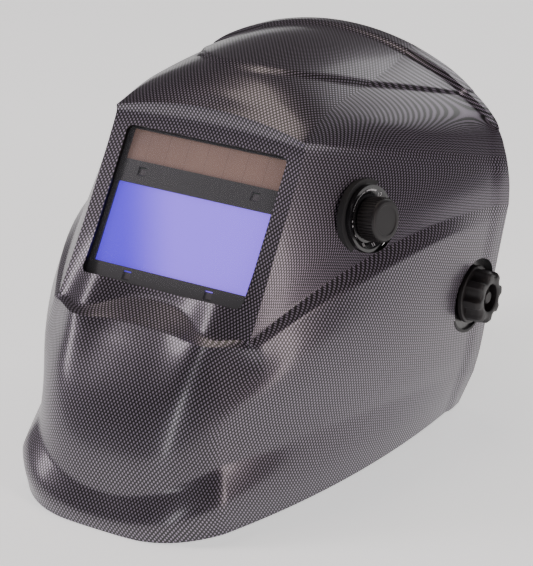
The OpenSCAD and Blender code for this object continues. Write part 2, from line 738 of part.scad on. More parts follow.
helmet_shell();
front_cover_lens();
filter_case_front();
filter_case_back();
filter_glass();
lcd_shutter();
solar_cell();
arc_sensors();
circuit_board();
coin_cells();
inner_cover_lens();
sensitivity_knob();
delay_knob();
test_button();
retaining_frame();
retaining_frame_pins();
dial_plate();
potentiometer_body();
potentiometer_shaft();
potentiometer_nut();
shade_knob();
shade_cable();
tension_knob(1);  // tension_knob_left
tension_knob(-1);  // tension_knob_right
pivot_bolt(1);  // pivot_bolt_left
pivot_bolt(-1);  // pivot_bolt_right
pivot_washer(1);  // pivot_washer_left
pivot_washer(-1);  // pivot_washer_right
side_arm(1);  // side_arm_left
side_arm(-1);  // side_arm_right
headband();
rear_strap(1);  // rear_strap_left
rear_strap(-1);  // rear_strap_right
ratchet_housing();
ratchet_cover();
ratchet_pinion();
ratchet_knob();
crown_strap(1);  // crown_strap_left
crown_strap(-1);  // crown_strap_right
crown_strap_peg();
band_rivets();
front_sweatband();
nape_pad();
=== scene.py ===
import bpy, bmesh, json, math
import numpy as np
from mathutils import Matrix, Vector


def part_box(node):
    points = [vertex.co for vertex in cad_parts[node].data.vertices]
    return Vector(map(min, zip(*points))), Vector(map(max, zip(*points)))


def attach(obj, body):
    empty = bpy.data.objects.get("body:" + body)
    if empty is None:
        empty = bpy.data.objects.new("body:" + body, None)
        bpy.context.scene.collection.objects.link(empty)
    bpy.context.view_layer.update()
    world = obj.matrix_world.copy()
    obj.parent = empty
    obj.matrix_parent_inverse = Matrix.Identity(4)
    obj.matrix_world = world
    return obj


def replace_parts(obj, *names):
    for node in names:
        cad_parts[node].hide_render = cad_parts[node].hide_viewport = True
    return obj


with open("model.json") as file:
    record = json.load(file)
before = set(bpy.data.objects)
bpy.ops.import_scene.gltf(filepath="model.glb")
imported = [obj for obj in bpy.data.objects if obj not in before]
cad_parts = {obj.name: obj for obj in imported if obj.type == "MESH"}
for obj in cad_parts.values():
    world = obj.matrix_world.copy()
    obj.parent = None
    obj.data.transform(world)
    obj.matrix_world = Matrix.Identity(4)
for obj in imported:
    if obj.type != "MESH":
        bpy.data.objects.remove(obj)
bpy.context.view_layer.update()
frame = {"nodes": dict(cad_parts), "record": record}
joints = {j["name"]: j for j in frame["record"]["behaviour"]["joints"]}
mm = 0.001

# Helmet coordinates, in mm: zero is below the window on the level of the side rims
pivotInHelmet = Vector((0, 113, 67))
origin = Vector(joints["headgear_tilt"]["pos_m"]) - pivotInHelmet * mm


def place(p):
    return origin + Vector(p) * mm


def newObject(name, verts, faces, smooth=True):
    mesh = bpy.data.meshes.new(name)
    mesh.from_pydata([tuple(v) for v in verts], [], [tuple(f) for f in faces])
    mesh.validate()
    mesh.update()
    obj = bpy.data.objects.new(name, mesh)
    bpy.context.scene.collection.objects.link(obj)
    if smooth:
        mesh.shade_smooth()
    return obj


def applyModifiers(obj):
    bpy.context.view_layer.update()
    evaluated = obj.evaluated_get(bpy.context.evaluated_depsgraph_get())
    mesh = bpy.data.meshes.new_from_object(evaluated)
    old = obj.data
    obj.modifiers.clear()
    obj.data = mesh
    bpy.data.meshes.remove(old)
    return obj


def boolean(obj, other, operation):
    mod = obj.modifiers.new("cut", "BOOLEAN")
    mod.operation, mod.solver, mod.object = operation, "EXACT", other
    applyModifiers(obj)
    bpy.data.objects.remove(other, do_unlink=True)


def moveMesh(obj, matrix):
    obj.data.transform(matrix)
    return obj


def joinMeshes(name, objects):
    target = bmesh.new()
    for o in objects:
        target.from_mesh(o.data)
    mesh = bpy.data.meshes.new(name)
    target.to_mesh(mesh)
    target.free()
    out = bpy.data.objects.new(name, mesh)
    bpy.context.scene.collection.objects.link(out)
    for o in objects:
        bpy.data.objects.remove(o, do_unlink=True)
    return out


def frameOf(at, out, up):
    # matrix in metres whose z axis is out and whose y axis is near up; meshes inside are in mm
    z = Vector(out).normalized()
    x = Vector(up).cross(z).normalized()
    y = z.cross(x)
    m = Matrix((x, y, z)).transposed().to_4x4()
    m.translation = place(at)
    return m @ Matrix.Scale(mm, 4)


def lathe(name, profile, steps=96, wave=None):
    # closed solid turned about z from (radius, height) pairs; wave(angle, radius, height) gives the radius
    verts, faces = [], []
    n = len(profile)
    for r, h in profile:
        for i in range(steps):
            a = 2 * math.pi * i / steps
            q = wave(a, r, h) if wave else r
            verts.append((q * math.cos(a), q * math.sin(a), h))
    for j in range(n - 1):
        for i in range(steps):
            k = (i + 1) % steps
            faces.append((j * steps + i, j * steps + k, (j + 1) * steps + k, (j + 1) * steps + i))
    if profile[0][0] > 1e-6:
        faces.append(tuple(reversed(range(steps))))
    if profile[-1][0] > 1e-6:
        faces.append(tuple((n - 1) * steps + i for i in range(steps)))
    obj = newObject(name, verts, faces)
    work = bmesh.new()
    work.from_mesh(obj.data)
    bmesh.ops.remove_doubles(work, verts=work.verts, dist=1e-5)
    bmesh.ops.recalc_face_normals(work, faces=work.faces)
    work.to_mesh(obj.data)
    work.free()
    obj.data.shade_smooth()
    return obj


def roundedOutline(w, h, r, steps=8):
    points = []
    for sx, sy, start in ((1, 1, 0), (-1, 1, 90), (-1, -1, 180), (1, -1, 270)):
        for i in range(steps + 1):
            a = math.radians(start + 90 * i / steps)
            points.append((sx * (w / 2 - r) + r * math.cos(a), sy * (h / 2 - r) + r * math.sin(a)))
    return points


def prism(name, outline, low, high):
    n = len(outline)
    verts = [(x, y, low) for x, y in outline] + [(x, y, high) for x, y in outline]
    faces = [tuple(reversed(range(n))), tuple(range(n, 2 * n))]
    faces += [(i, (i + 1) % n, n + (i + 1) % n, n + i) for i in range(n)]
    return newObject(name, verts, faces, smooth=False)


def colour(hexText):
    parts = [int(hexText[i:i + 2], 16) / 255 for i in (1, 3, 5)]
    return tuple(c / 12.92 if c <= 0.04045 else ((c + 0.055) / 1.055) ** 2.4 for c in parts) + (1.0,)


def addNode(tree, kind, settings=None, inputs=None):
    # one node: settings are its own properties, inputs are values or sockets to link
    node = tree.nodes.new(kind)
    for key, value in (settings or {}).items():
        setattr(node, key, value)
    for key, value in (inputs or {}).items():
        if isinstance(value, bpy.types.NodeSocket):
            tree.links.new(value, node.inputs[key])
        else:
            node.inputs[key].default_value = value
    return node


def newMaterial(name, **inputs):
    mat = bpy.data.materials.new(name)
    mat.use_nodes = True
    tree = mat.node_tree
    shader = tree.nodes["Principled BSDF"]
    for key, value in inputs.items():
        shader.inputs[key.replace("_", " ")].default_value = value
    return mat, tree, shader


def mathNode(tree, operation, a, b=0.0, c=0.0):
    return addNode(tree, "ShaderNodeMath", {"operation": operation}, {0: a, 1: b, 2: c}).outputs[0]


def giveMaterial(obj, *mats):
    obj.data.materials.clear()
    for mat in mats:
        obj.data.materials.append(mat)
    return obj


print("tools ready")

# Injection-moulded nylon with a film-transferred weave of small light ovals under a satin coat.
# across and along are the pattern's pitch in mm; the oval's half sizes are shares of it
weave = {"across": 2.2, "along": 1.55, "ovalWidth": 0.22, "ovalHeight": 0.43, "metal": 0.55,
         "ground": "#070507", "oval": "#94899a", "roughness": 0.36, "coat": 0.3, "coatRoughness": 0.16}


def makeShellMaterial():
    mat, tree, shader = newMaterial("filmPrintedNylon", Roughness=weave["roughness"], IOR=1.5,
                                    Coat_Weight=weave["coat"], Coat_Roughness=weave["coatRoughness"])
    uv = addNode(tree, "ShaderNodeUVMap", {"uv_map": "weave"}).outputs["UV"]
    split = addNode(tree, "ShaderNodeSeparateXYZ", None, {0: uv})
    y = mathNode(tree, "DIVIDE", split.outputs["Y"], weave["along"] * mm)
    row = mathNode(tree, "FLOOR", y)
    shift = mathNode(tree, "MULTIPLY", row, 0.5)
    x = mathNode(tree, "ADD", mathNode(tree, "DIVIDE", split.outputs["X"], weave["across"] * mm), shift)
    fx = mathNode(tree, "SUBTRACT", mathNode(tree, "FRACT", x), 0.5)
    fy = mathNode(tree, "SUBTRACT", mathNode(tree, "FRACT", y), 0.5)
    dx = mathNode(tree, "POWER", mathNode(tree, "DIVIDE", fx, weave["ovalWidth"]), 2.0)
    dy = mathNode(tree, "POWER", mathNode(tree, "DIVIDE", fy, weave["ovalHeight"]), 2.0)
    far = mathNode(tree, "SQRT", mathNode(tree, "ADD", dx, dy))
    mask = addNode(tree, "ShaderNodeMapRange", {"interpolation_type": "SMOOTHSTEP"},
                   {0: far, 1: 0.8, 2: 1.1, 3: 1.0, 4: 0.0}).outputs[0]
    mix = addNode(tree, "ShaderNodeMix", {"data_type": "RGBA"},
                  {"Factor": mask, 6: colour(weave["ground"]), 7: colour(weave["oval"])})
    tree.links.new(mix.outputs[2], shader.inputs["Base Color"])
    # the ovals are a metallised print, so they light up only where they mirror something bright
    tree.links.new(mathNode(tree, "MULTIPLY", mask, weave["metal"]), shader.inputs["Metallic"])
    return mat


def makeGrainedPlastic(name, hexText, roughness, grainMm, depth, coat=0.0):
    # moulded plastic with a fine spark-eroded grain
    mat, tree, shader = newMaterial(name, Roughness=roughness, Coat_Weight=coat, Coat_Roughness=0.2, IOR=1.5)
    where = addNode(tree, "ShaderNodeTexCoord").outputs["Object"]
    noise = addNode(tree, "ShaderNodeTexNoise", None,
                    {"Vector": where, "Scale": 1 / (grainMm * mm), "Detail": 3.0, "Roughness": 0.6})
    bump = addNode(tree, "ShaderNodeBump", None,
                   {"Strength": depth, "Distance": 0.1 * mm, "Height": noise.outputs[0]})
    tree.links.new(bump.outputs[0], shader.inputs["Normal"])
    cloudy = addNode(tree, "ShaderNodeTexNoise", None, {"Vector": where, "Scale": 60.0, "Detail": 2.0})
    base = colour(hexText)
    ramp = addNode(tree, "ShaderNodeMix", {"data_type": "RGBA"},
                   {"Factor": cloudy.outputs[0], 6: tuple(c * 0.8 for c in base[:3]) + (1,),
                    7: tuple(min(1, c * 1.25) for c in base[:3]) + (1,)})
    tree.links.new(ramp.outputs[2], shader.inputs["Base Color"])
    return mat


# Interference-coated filter glass: deep blue-violet with a sharp clear gloss, plus a painted reflection that
# turns it lighter towards one side and a painted glow from its emission
def makeFilterGlass():
    mat, tree, shader = newMaterial("interferenceFilterGlass", Roughness=0.06, Coat_Weight=1.0,
                                    Coat_Roughness=0.03, IOR=1.52)
    where = addNode(tree, "ShaderNodeTexCoord").outputs["Object"]
    split = addNode(tree, "ShaderNodeSeparateXYZ", None, {0: where})
    # painted reflection: past a slanted line across the glass its colour turns a lighter violet
    lean = mathNode(tree, "MULTIPLY_ADD", split.outputs["Z"], 0.45, split.outputs["X"])
    side = addNode(tree, "ShaderNodeMapRange", {"interpolation_type": "SMOOTHSTEP"},
                   {0: lean, 1: 0.02, 2: 0.06, 3: 0.0, 4: 1.0}).outputs[0]
    mix = addNode(tree, "ShaderNodeMix", {"data_type": "RGBA"},
                  {"Factor": side, 6: colour("#4a1fe0"), 7: colour("#8a66ff")})
    tree.links.new(mix.outputs[2], shader.inputs["Base Color"])
    # painted glow: the glass emits its own colour, though it is no lamp
    tree.links.new(mix.outputs[2], shader.inputs["Emission Color"])
    shader.inputs["Emission Strength"].default_value = 1.0
    return mat


# Amorphous silicon solar cell behind a clear cover: rose-brown with fine vertical cell lines
def makeSolarCell():
    mat, tree, shader = newMaterial("amorphousSolarCell", Roughness=0.25, Coat_Weight=1.0,
                                    Coat_Roughness=0.05, IOR=1.5)
    where = addNode(tree, "ShaderNodeTexCoord").outputs["Object"]
    split = addNode(tree, "ShaderNodeSeparateXYZ", None, {0: where})
    cell = mathNode(tree, "FRACT", mathNode(tree, "DIVIDE", split.outputs["X"], 12.4 * mm))
    line = mathNode(tree, "LESS_THAN", cell, 0.012)
    noise = addNode(tree, "ShaderNodeTexNoise", None, {"Vector": where, "Scale": 25.0, "Detail": 2.0})
    mix = addNode(tree, "ShaderNodeMix", {"data_type": "RGBA"},
                  {"Factor": noise.outputs[0], 6: colour("#7d5f54"), 7: colour("#a07f70")})
    dark = addNode(tree, "ShaderNodeMix", {"data_type": "RGBA"},
                   {"Factor": line, 6: mix.outputs[2], 7: colour("#5b443f")})
    tree.links.new(dark.outputs[2], shader.inputs["Base Color"])
    return mat


# Knitted polyester over foam: dark, with soft sheen and a visible knit
def makeKnit():
    mat, tree, shader = newMaterial("knittedPolyester", Roughness=0.9, Sheen_Weight=0.4, Sheen_Roughness=0.5)
    where = addNode(tree, "ShaderNodeTexCoord").outputs["Object"]
    bands = []
    for angle in (45, -45):
        turned = addNode(tree, "ShaderNodeMapping", None,
                         {"Vector": where, "Rotation": (math.radians(20), 0, math.radians(angle))})
        wave = addNode(tree, "ShaderNodeTexWave", {"wave_profile": "SIN"},
                       {"Vector": turned.outputs[0], "Scale": 1 / (1.6 * mm) / 6.28, "Distortion": 1.5,
                        "Detail": 1.0, "Detail Scale": 40.0})
        bands.append(wave.outputs[1])
    knit = mathNode(tree, "MULTIPLY", bands[0], bands[1])
    mix = addNode(tree, "ShaderNodeMix", {"data_type": "RGBA"},
                  {"Factor": knit, 6: colour("#1b1b1f"), 7: colour("#4a4a52")})
    tree.links.new(mix.outputs[2], shader.inputs["Base Color"])
    bump = addNode(tree, "ShaderNodeBump", None, {"Strength": 0.7, "Distance": 0.4 * mm, "Height": knit})
    tree.links.new(bump.outputs[0], shader.inputs["Normal"])
    return mat


def makeBrushedSteel():
    mat, tree, shader = newMaterial("brightDrawnSteel", Metallic=1.0, Roughness=0.3)
    shader.inputs["Base Color"].default_value = colour("#b9b9bd")
    where = addNode(tree, "ShaderNodeTexCoord").outputs["Object"]
    noise = addNode(tree, "ShaderNodeTexNoise", None, {"Vector": where, "Scale": 900.0, "Detail": 2.0})
    rough = mathNode(tree, "MULTIPLY_ADD", noise.outputs[0], 0.2, 0.2)
    tree.links.new(rough, shader.inputs["Roughness"])
    return mat


def makeClear(name, tint):
    mat, tree, shader = newMaterial(name, Roughness=0.0, IOR=1.1, Alpha=0.03)
    shader.inputs["Base Color"].default_value = colour(tint)
    return mat


finishes = {
    "shell": makeShellMaterial(),
    "inside": makeGrainedPlastic("mattNylonInside", "#1c1b1d", 0.62, 0.5, 0.35),
    "case": makeGrainedPlastic("satinCaseAbs", "#0b0a0c", 0.34, 0.35, 0.06, coat=0.2),
    "knob": makeGrainedPlastic("mouldedKnobNylon", "#120d0f", 0.5, 0.4, 0.25, coat=0.0),
    "nylon": makeGrainedPlastic("glassFilledNylon", "#1a1a1c", 0.5, 0.5, 0.5),
    "band": makeGrainedPlastic("flexiblePolyethylene", "#202023", 0.45, 0.8, 0.25),
    "dial": makeGrainedPlastic("glossDialAbs", "#0e0d10", 0.22, 0.4, 0.15, coat=0.5),
    "grey": makeGrainedPlastic("greyAcetal", "#6d6d70", 0.4, 0.4, 0.2),
    "pinion": makeGrainedPlastic("naturalAcetal", "#d8d3c6", 0.35, 0.4, 0.15),
    "red": makeGrainedPlastic("redAbs", "#a3201a", 0.35, 0.4, 0.2),
    "fibre": makeGrainedPlastic("frictionFibre", "#2c2a28", 0.8, 0.3, 0.8),
    "board": makeGrainedPlastic("greenSolderMask", "#12502c", 0.35, 0.6, 0.1),
    "lcd": makeGrainedPlastic("liquidCrystalCell", "#12201b", 0.1, 5.0, 0.02),
    "cable": makeGrainedPlastic("softPvcSheath", "#151515", 0.5, 0.5, 0.3),
    "sensor": makeGrainedPlastic("smokedSensorWindow", "#4a4548", 0.15, 2.0, 0.05, coat=1.0),
    "print": makeGrainedPlastic("whitePadPrintInk", "#d9d9dc", 0.5, 0.3, 0.1),
    "pot": makeGrainedPlastic("dullZincPlate", "#70757c", 0.4, 0.8, 0.2),
    "steel": makeBrushedSteel(),
    "glass": makeFilterGlass(),
    "solar": makeSolarCell(),
    "knit": makeKnit(),
    "clear": makeClear("clearPolycarbonate", "#e9eaf4"),
    "thread": makeGrainedPlastic("polyesterThread", "#5c5c63", 0.7, 0.3, 0.5),
}

cadFinish = {
    "front_cover_lens": "clear", "inner_cover_lens": "clear", "filter_case_front": "case",
    "filter_case_back": "case", "filter_glass": "glass", "lcd_shutter": "lcd", "solar_cell": "solar",
    "arc_sensors": "sensor", "circuit_board": "board", "coin_cells": "steel", "sensitivity_knob": "knob",
    "delay_knob": "knob", "test_button": "red", "retaining_frame": "case", "retaining_frame_pins": "steel",
    "dial_plate": "dial", "potentiometer_body": "pot", "potentiometer_shaft": "steel",
    "potentiometer_nut": "steel", "shade_cable": "cable", "pivot_bolt_left": "nylon",
    "pivot_bolt_right": "nylon", "pivot_washer_left": "fibre", "pivot_washer_right": "fibre",
    "side_arm_left": "nylon", "side_arm_right": "nylon", "headband": "band", "rear_strap_left": "band",
    "rear_strap_right": "band", "ratchet_housing": "nylon", "ratchet_cover": "nylon",
    "ratchet_pinion": "pinion", "crown_strap_left": "band", "crown_strap_right": "band",
    "crown_strap_peg": "grey", "band_rivets": "grey",
}
for nodeName, finish in cadFinish.items():
    giveMaterial(frame["nodes"][nodeName], finishes[finish])
print("materials ready")

# Stations from the chin rim up over the window and the brow to the crown edge, in mm: the centre (y, z),
# the corner beside the window, a cheek point and the rear edge (x, y, z each), how square the front is,
# whether a crease runs along it, and its share of the lobes
stations = np.array([
    [-105, -13, 63.5, -80, -9, 89, 16, -8, 90, 131, -13, 3.6, 1, 0.0],
    [-105.5, -5, 65, -81.5, 9, 91, 13, 10, 94, 131, -3, 3.4, 0, 0.0],
    [-99.5, 7, 58, -75, 26, 91, 13, 29, 99, 131.5, 10, 3.0, 1, 0.0],
    [-96, 30, 56, -73, 42, 94, 12, 44, 102.5, 132, 26, 2.8, 0, 0.1],
    [-86, 56, 61, -63, 58, 97.5, 14, 64, 105, 134, 48, 2.6, 0, 0.3],
    [-72, 76, 68.5, -48.5, 73, 99, 22, 85, 108.5, 136.5, 78, 2.4, 0, 0.7],
    [-60, 88, 65, -48, 86, 98, 33, 111, 112, 139, 106, 2.4, 1, 1.0],
    [-44, 97, 60, -50, 89, 93, 36, 119, 113, 140, 114, 2.0, 1, 0.0],
    [-25.5, 125, 60, -25, 125, 91, 47, 135, 112.5, 141, 124, 2.0, 0, 0.0],
    [5, 171, 60, 4, 171, 88, 64.5, 156, 111, 142, 133, 2.0, 0, 0.0],
    [9, 188, 59.5, 6.5, 180.5, 86, 67, 163, 109, 143, 140, 2.0, 1, 0.0],
    [22, 197.5, 57, 26, 186, 84, 74, 169, 107.5, 143.5, 144, 2.0, 0, 0.0],
    [45, 203.5, 55, 50, 189, 83, 84, 172, 106, 144, 148, 2.0, 0, 0.0],
    [95, 203.5, 53, 96, 190, 82, 112, 174, 104.5, 144.5, 151, 2.0, 0, 0.0],
    [149, 196.5, 45, 148.5, 190, 80, 147, 174.5, 102.5, 145, 155, 2.0, 1, 0.0],
])
shell = {"wall": 2.5, "frontShare": 0.42, "lobe": 8.0, "panel": 1.6, "lip": 2.4, "lipStart": 0.982,
         "step": 2.3, "shelfLow": 6, "shelfHigh": 7, "shelfDrop": 0.7, "brow": 10,
         "windowUp": 11, "windowWidth": 101.5, "windowHeight": 84.5, "windowCorner": 4,
         "pocketX": 104.5, "pocket": 42, "boss": 3.5, "bolt": 8.1, "landing": -12.4}
# Walls that hold the cartridge behind the window, and the flat under the shade dial
tub = {"width": 116, "height": 96, "corner": 3, "back": -10.5, "front": 2.6,
       "insideWidth": 111, "insideHeight": 91, "insideCorner": 1}
dialSeat = {"pad": 21, "hole": 3.6, "recess": 18.5, "back": -5, "face": -1.5}
lens = {"at": (0, -21.5, 125), "lean": math.radians(33.1)}
lensUp = Vector((0, math.sin(lens["lean"]), math.cos(lens["lean"])))
lensOut = Vector((0, -math.cos(lens["lean"]), math.sin(lens["lean"])))
lensFrame = frameOf(lens["at"], lensOut, lensUp)
shadeAxis = Vector(joints["shade_turn"]["axis"])
shadeAt = (85.5, 30, 136)
shadeFrame = frameOf(shadeAt, shadeAxis, (0, 0, 1))


def ramp(t):
    t = np.clip(t, 0, 1)
    return t * t * (3 - 2 * t)


def stationAt(v):
    last = len(stations) - 1
    i = np.minimum(np.floor(v * last + 1e-6).astype(int), last - 1)
    t = (v * last - i)[:, None]
    crease = stations[:, 12] == 1
    middle = np.zeros_like(stations)
    middle[1:-1] = (stations[2:] - stations[:-2]) / 2
    slopeOut = np.where(crease[i][:, None], stations[i + 1] - stations[i], middle[i])
    slopeIn = np.where(crease[i + 1][:, None], stations[i + 1] - stations[i], middle[i + 1])
    return ((2 * t**3 - 3 * t**2 + 1) * stations[i] + (t**3 - 2 * t**2 + t) * slopeOut
            + (3 * t**2 - 2 * t**3) * stations[i + 1] + (t**3 - t**2) * slopeIn)


def sectionPoints(u, v):
    k = stationAt(v)
    s = np.abs(u)
    a = np.minimum(s / shell["frontShare"], 1)
    front = np.stack([k[:, 2] * a, k[:, 0] + (k[:, 3] - k[:, 0]) * a ** k[:, 11],
                      k[:, 1] + (k[:, 4] - k[:, 1]) * a * a], 1)
    b = np.clip((s - shell["frontShare"]) / (1 - shell["frontShare"]), 0, 1)[:, None]
    c, m, e = k[:, 2:5], k[:, 5:8], k[:, 8:11]
    cheek = (1 - b)**2 * c + 2 * b * (1 - b) * (2 * m - (c + e) / 2) + b * b * e
    p = np.where((s <= shell["frontShare"])[:, None], front, cheek)
    p[:, 1] -= shell["lobe"] * k[:, 13] * np.exp(-((p[:, 0] - 40) / 15)**2)
    p[:, 0] *= np.sign(u)
    return p


def basePoints(u, v):
    # u and v are flat arrays: u from -1 (wearer's right) to 1, v from chin rim to crown edge.
    # The window face runs down over both lobes, so the shelf's upper edge drops there
    p = sectionPoints(u, v)
    last = len(stations) - 1
    near = np.maximum(0, 1 - np.abs(v * last - shell["shelfHigh"]))
    drop = shell["shelfDrop"] * near * np.exp(-((np.abs(p[:, 0]) - 40) / 17)**2)
    low = sectionPoints(u, np.full_like(v, shell["shelfLow"] / last))
    high = sectionPoints(u, np.full_like(v, shell["shelfHigh"] / last))
    return p + drop[:, None] * (low - high)


def surfaceNormals(u, v):
    e = 0.004
    across = basePoints(np.minimum(1, u + e), v) - basePoints(np.maximum(-1, u - e), v)
    along = basePoints(u, np.minimum(1, v + e)) - basePoints(u, np.maximum(0, v - e))
    n = np.cross(across, along)
    return n / np.linalg.norm(n, axis=1)[:, None]


def outerPoints(u, v):
    p, n = basePoints(u, v), surfaceNormals(u, v)
    panel = shell["panel"] * ramp((p[:, 1] - 36 - 0.015 * p[:, 0]**2) / 5) * ramp((p[:, 2] - 166) / 16)
    lip = shell["lip"] * np.maximum(ramp((v - shell["lipStart"]) / 0.006),
                                    0.5 * ramp((np.abs(u) - 0.965) / 0.01))
    return p + n * (panel + lip)[:, None]


def makeShell():
    last = len(stations) - 1
    vSteps = [0.0]
    for i in range(last):
        part = np.linspace(i / last, (i + 1) / last, 41)
        middle = basePoints(np.zeros(41), part)
        cheek = basePoints(np.full(41, 0.7), part)
        length = max(np.linalg.norm(np.diff(middle, axis=0), axis=1).sum(),
                     np.linalg.norm(np.diff(cheek, axis=0), axis=1).sum())
        count = max(2, int(round(length / shell["step"])))
        vSteps += list((i + np.arange(1, count + 1) / count) / last)
    half = list(np.linspace(0, shell["frontShare"], 27)) + list(
        np.linspace(shell["frontShare"], 1, 62))[1:]
    uSteps = np.array([-s for s in reversed(half[1:])] + half)
    vSteps = np.array(vSteps)
    rows, cols = len(vSteps), len(uSteps)
    u, v = np.tile(uSteps, rows), np.repeat(vSteps, cols)
    outer, base = outerPoints(u, v), basePoints(u, v)
    inner = base - surfaceNormals(u, v) * shell["wall"]
    points = np.concatenate([outer, inner]) * mm + np.array(origin)
    index = np.arange(rows * cols).reshape(rows, cols)
    n = rows * cols
    a, b, c, d = index[:-1, :-1], index[:-1, 1:], index[1:, 1:], index[1:, :-1]
    outside = np.stack([a, b, c, d], -1).reshape(-1, 4)
    inside = np.stack([a, d, c, b], -1).reshape(-1, 4) + n
    rims = []
    for line, flip in ((index[0], 1), (index[-1], 0), (index[:, 0], 0), (index[:, -1], 1)):
        for p, q in zip(line[:-1], line[1:]):
            rims.append((p, p + n, q + n, q) if flip else (p, q, q + n, p + n))
    faces = np.concatenate([outside, inside, np.array(rims)])
    obj = newObject("shellSkin", points, faces.tolist())
    # the pattern's map: distance across from the middle, distance along from the brow
    grid = outer.reshape(rows, cols, 3)
    across = np.zeros((rows, cols))
    across[:, 1:] = np.cumsum(np.linalg.norm(np.diff(grid, axis=1), axis=2), axis=1)
    across -= across[:, cols // 2][:, None]
    along = np.zeros((rows, cols))
    along[1:] = np.cumsum(np.linalg.norm(np.diff(grid, axis=0), axis=2), axis=0)
    brow = int(np.argmin(np.abs(vSteps - shell["brow"] / last)))
    along -= along[brow][None, :]
    pattern = np.stack([across, along], -1).reshape(-1, 2) * mm + 0.5
    pattern = np.concatenate([pattern, pattern])
    layer = obj.data.uv_layers.new(name="weave")
    loops = np.empty(len(obj.data.loops), dtype=np.int32)
    obj.data.loops.foreach_get("vertex_index", loops)
    layer.data.foreach_set("uv", pattern[loops].astype(np.float32).ravel())
    return giveMaterial(obj, finishes["shell"], finishes["inside"])


def insideFaces(obj):
    giveMaterial(obj, finishes["shell"], finishes["inside"])
    for poly in obj.data.polygons:
        poly.material_index = 1
    return obj


def finishShell():
    obj = makeShell()
    print("shell skin", len(obj.data.polygons), "faces")
    window = prism("window", roundedOutline(shell["windowWidth"], shell["windowHeight"],
                                            shell["windowCorner"]), -4, 30)
    moveMesh(window, lensFrame @ Matrix.Translation((0, shell["windowUp"], 0)))
    giveMaterial(window, finishes["shell"], finishes["inside"])
    boolean(obj, window, "DIFFERENCE")
    # tub that holds the cartridge
    walls = prism("tub", roundedOutline(tub["width"], tub["height"], tub["corner"]), tub["back"], tub["front"])
    hollow = prism("hollow", roundedOutline(tub["insideWidth"], tub["insideHeight"], tub["insideCorner"], 3),
                   tub["back"] - 1.5, 20)
    for part in (walls, hollow):
        moveMesh(part, lensFrame @ Matrix.Translation((0, shell["windowUp"], 0)))
    boolean(walls, hollow, "DIFFERENCE")
    additions = [walls]
    for side in (1, -1):
        boss = lathe("boss", [(22.5, shell["pocketX"] - shell["boss"]), (22.5, shell["pocketX"] + 1.5)], 96)
        additions.append(moveMesh(boss, frameOf(pivotInHelmet, (side, 0, 0), (0, 0, 1))))
    pad = lathe("pad", [(dialSeat["pad"], dialSeat["back"]), (dialSeat["pad"], dialSeat["face"])], 96)
    additions.append(moveMesh(pad, shadeFrame))
    boolean(obj, insideFaces(joinMeshes("additions", additions)), "UNION")
    cuts = []
    for side in (1, -1):
        turn = frameOf(pivotInHelmet, (side, 0, 0), (0, 0, 1))
        x = shell["pocketX"]
        bolt, pocket = shell["bolt"] / 2, shell["pocket"] / 2
        cuts.append(moveMesh(lathe("pocket", [(bolt, x - 8), (bolt, x), (pocket, x), (pocket, x + 25)], 96),
                             turn))
    hole, recess, face = dialSeat["hole"], dialSeat["recess"], dialSeat["face"]
    cuts.append(moveMesh(lathe("dialHole", [(hole, -10), (hole, face), (recess, face), (recess, 20)], 96),
                         shadeFrame))
    low = prism("landing", [(-200, -200), (200, -200), (200, 200), (-200, 200)], -40, shell["landing"])
    cuts.append(moveMesh(low, Matrix.Translation(origin) @ Matrix.Scale(mm, 4)))
    cutter = joinMeshes("cuts", cuts)
    giveMaterial(cutter, finishes["shell"], finishes["inside"])
    boolean(obj, cutter, "DIFFERENCE")
    obj.data.shade_smooth()
    obj.data.set_sharp_from_angle(angle=math.radians(32))
    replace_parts(obj, "helmet_shell")
    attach(obj, "shell")
    print("shell done", len(obj.data.polygons), "faces")
    return obj


finishShell()

# offset is from the viewing glass's middle, in mm; up and back are the picture's own axes
camera = {"lensMm": 153, "sensorMm": 36, "offset": (662.8, -984.2, 478.7),
          "up": (-0.207, 0.333, 0.920), "back": (0.484, -0.782, 0.392)}


def makeCamera():
    data = bpy.data.cameras.new("camera")
    data.sensor_width = camera["sensorMm"]
    data.lens = camera["lensMm"]
    obj = bpy.data.objects.new("camera", data)
    bpy.context.scene.collection.objects.link(obj)
    y, z = Vector(camera["up"]), Vector(camera["back"]).normalized()
    x = y.cross(z).normalized()
    y = z.cross(x)
    turn = Matrix((x, y, z)).transposed().to_4x4()
    turn.translation = place(lens["at"]) + Vector(camera["offset"]) * mm
    obj.matrix_world = turn
    data.clip_start, data.clip_end = 0.05, 20
    bpy.context.scene.camera = obj


def areaLight(name, at, toward, size, power, tint="#ffffff"):
    data = bpy.data.lights.new(name, "AREA")
    data.shape = "RECTANGLE"
    data.size, data.size_y = size
    data.energy = power
    data.color = colour(tint)[:3]
    obj = bpy.data.objects.new(name, data)
    bpy.context.scene.collection.objects.link(obj)
    obj.location = at
    obj.rotation_mode = "QUATERNION"
    obj.rotation_quaternion = (Vector(at) - Vector(toward)).to_track_quat("Z", "Y")


makeCamera()
middle = (0, 0, 0.11)
# name: place in metres, size, power in watts, tint
lights = {
    "overhead": ((-0.3, 0.1, 1.5), (0.9, 0.6), 5, "#fff1e4"),
    "leftBox": ((-1.3, -0.8, 0.9), (0.35, 1.1), 11, "#fff6fa"),
    "rightBox": ((1.5, -0.5, 0.6), (0.3, 1.2), 8, "#fff0ee"),
    "frontBox": ((0.3, -1.8, 0.5), (0.25, 0.9), 4, "#ffffff"),
    "backBox": ((0.2, 1.6, 0.9), (1.0, 0.8), 6, "#ffffff"),
}
for lightName, (at, size, power, tint) in lights.items():
    areaLight(lightName, at, middle, size, power, tint)

studio = {"world": (0.97, 0.93, 0.96, 1), "worldStrength": 0.12, "floor": "#f6f6f6", "floorGlow": 0.8,
          "floorHalf": 6}
world = bpy.data.worlds.new("paleStudio")
bpy.context.scene.world = world
world.use_nodes = True
world.node_tree.nodes["Background"].inputs[0].default_value = studio["world"]
world.node_tree.nodes["Background"].inputs[1].default_value = studio["worldStrength"]

